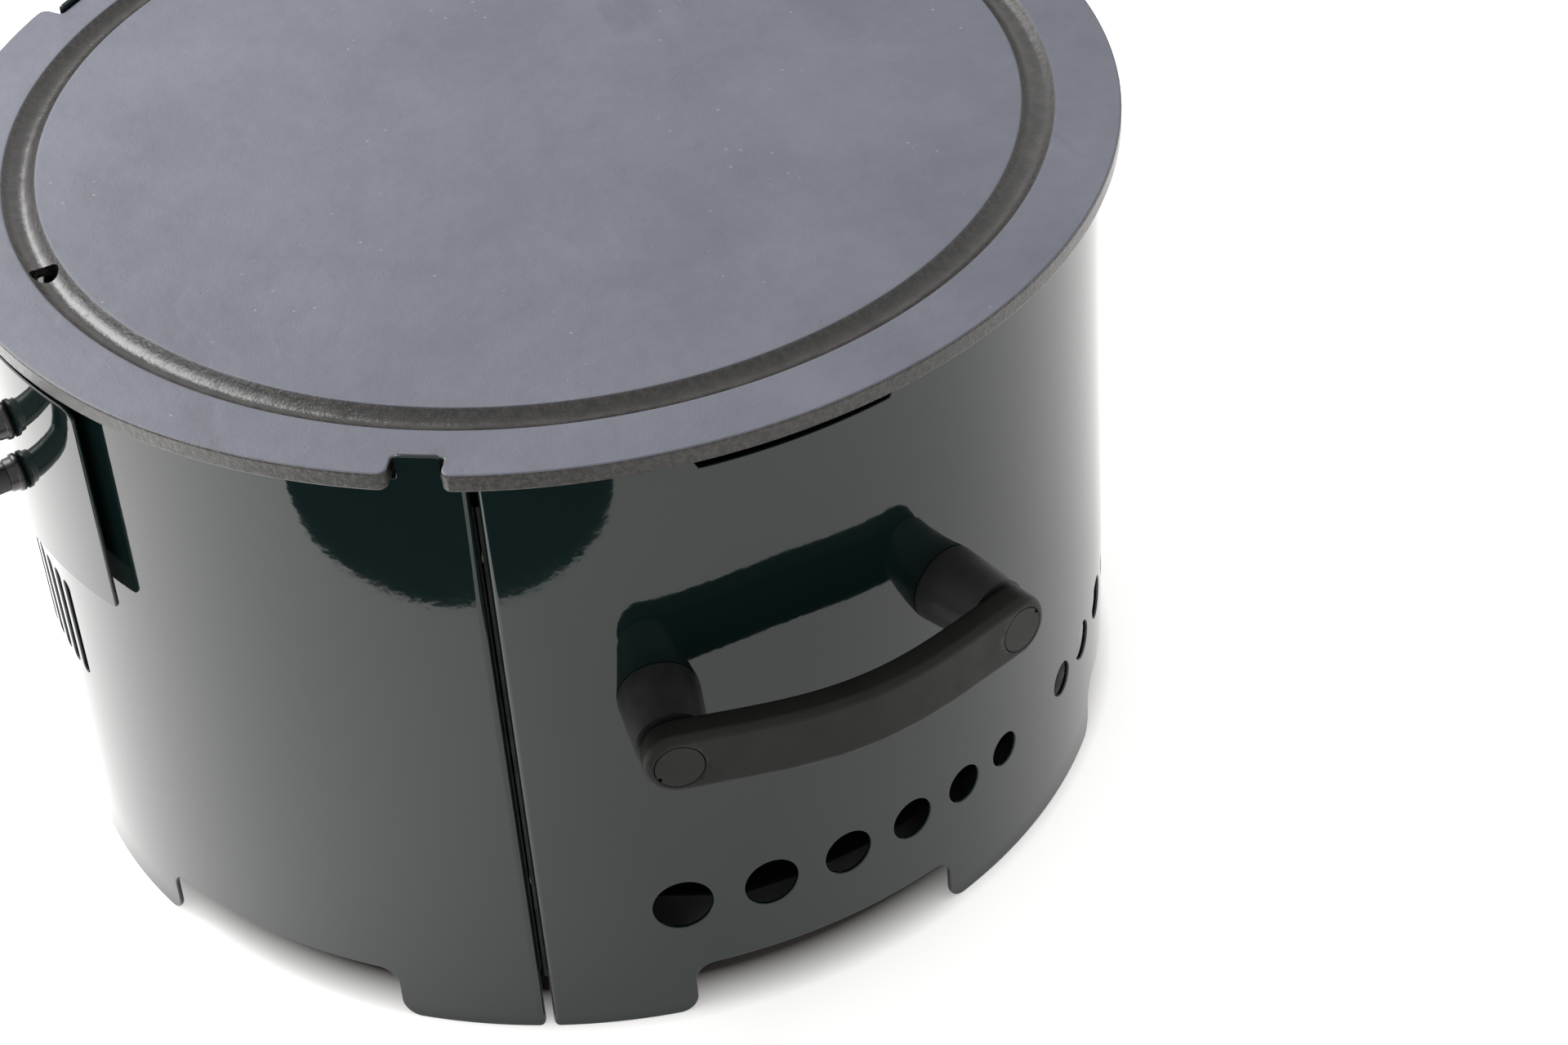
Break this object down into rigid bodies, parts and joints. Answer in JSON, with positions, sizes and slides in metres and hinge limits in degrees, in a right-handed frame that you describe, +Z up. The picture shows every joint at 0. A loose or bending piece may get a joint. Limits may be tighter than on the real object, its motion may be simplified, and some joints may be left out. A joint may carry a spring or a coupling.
{
  "type": "drum charcoal grill",
  "caption": "Tabletop charcoal grill: cast-iron griddle plate on an enamelled drum of bolted curved panels with a hinged fuel door, ash pan, grate and side carrying handles.",
  "frame": {"origin": "on the ground under the middle of the footprint; the drum's axis stands 22 mm behind it, because the door's pull reaches forward", "axes": "+Z up, -Y out of the fuel door, +X along the line of the two side handles"},
  "size_m": [0.551, 0.5163, 0.2912],
  "materials": {
    "enamel": "gloss vitreous enamel, very dark green",
    "griddle_iron": "matt seasoned cast iron, blue-grey on top and rough at the rim",
    "grate_iron": "rough cast iron",
    "pan_steel": "bare sheet, heat-stained brown",
    "zinc_steel": "zinc-plated",
    "pull_steel": "semi-gloss black",
    "hinge_steel": "semi-gloss black",
    "grip_plastic": "satin charcoal with a fine grain",
    "cap_plastic": "satin black",
    "post_plastic": "matt black, slightly mottled"
  },
  "bodies": {
    "drum": {"front_panel": "enamel", "right_panel": "enamel", "left_panel": "enamel", "seam_rib_1": "pan_steel", "seam_screw_1_lower": "zinc_steel", "seam_nut_1_lower": "zinc_steel", "seam_screw_1_upper": "zinc_steel", "seam_nut_1_upper": "zinc_steel", "seam_rib_2": "pan_steel", "seam_screw_2_lower": "zinc_steel", "seam_nut_2_lower": "zinc_steel", "seam_screw_2_upper": "zinc_steel", "seam_nut_2_upper": "zinc_steel", "seam_rib_3": "pan_steel", "seam_screw_3_lower": "zinc_steel", "seam_nut_3_lower": "zinc_steel", "seam_screw_3_upper": "zinc_steel", "seam_nut_3_upper": "zinc_steel", "hinge_leaf_fixed": "hinge_steel", "hinge_pin": "hinge_steel", "hinge_rivet_fixed_lower": "hinge_steel", "hinge_rivet_fixed_upper": "hinge_steel", "right_handle_grip": "grip_plastic", "right_handle_post_a": "post_plastic", "right_handle_cap_a": "cap_plastic", "right_handle_screw_a": "zinc_steel", "right_handle_nut_a": "zinc_steel", "right_handle_post_b": "post_plastic", "right_handle_cap_b": "cap_plastic", "right_handle_screw_b": "zinc_steel", "right_handle_nut_b": "zinc_steel", "left_handle_grip": "grip_plastic", "left_handle_post_a": "post_plastic", "left_handle_cap_a": "cap_plastic", "left_handle_screw_a": "zinc_steel", "left_handle_nut_a": "zinc_steel", "left_handle_post_b": "post_plastic", "left_handle_cap_b": "cap_plastic", "left_handle_screw_b": "zinc_steel", "left_handle_nut_b": "zinc_steel"},
    "griddle": {"griddle_plate": "griddle_iron"},
    "grate": {"charcoal_grate": "grate_iron", "grate_leg_1": "grate_iron", "grate_leg_2": "grate_iron", "grate_leg_3": "grate_iron"},
    "pan": {"ash_pan": "pan_steel"},
    "door": {"fuel_door": "enamel", "door_pull": "pull_steel", "door_pull_collar_lower": "pull_steel", "door_pull_collar_upper": "pull_steel", "door_pull_screw_lower": "zinc_steel", "door_pull_screw_upper": "zinc_steel", "hinge_leaf_moving": "hinge_steel", "hinge_rivet_moving_lower": "hinge_steel", "hinge_rivet_moving_upper": "hinge_steel"}
  },
  "joints": [
    {"name": "griddle_lift", "type": "slide", "parent": "drum", "child": "griddle", "axis": [0, 0, 1], "range_m": [0, 0.3]},
    {"name": "grate_lift", "type": "slide", "parent": "drum", "child": "grate", "axis": [0, 0, 1], "range_m": [0, 0.18]},
    {"name": "ash_pan_lift", "type": "slide", "parent": "drum", "child": "pan", "axis": [0, 0, 1], "range_m": [0, 0.09]},
    {"name": "door_hinge", "type": "hinge", "parent": "drum", "child": "door", "pos_m": [-0.08531, -0.19543, 0.23], "axis": [0, 0, -1], "range_deg": [0, 110]}
  ],
  "couplings": [
    {"joint": "grate_lift", "follows": "griddle_lift", "ratio": 0.6},
    {"joint": "ash_pan_lift", "follows": "griddle_lift", "ratio": 0.3}
  ]
}
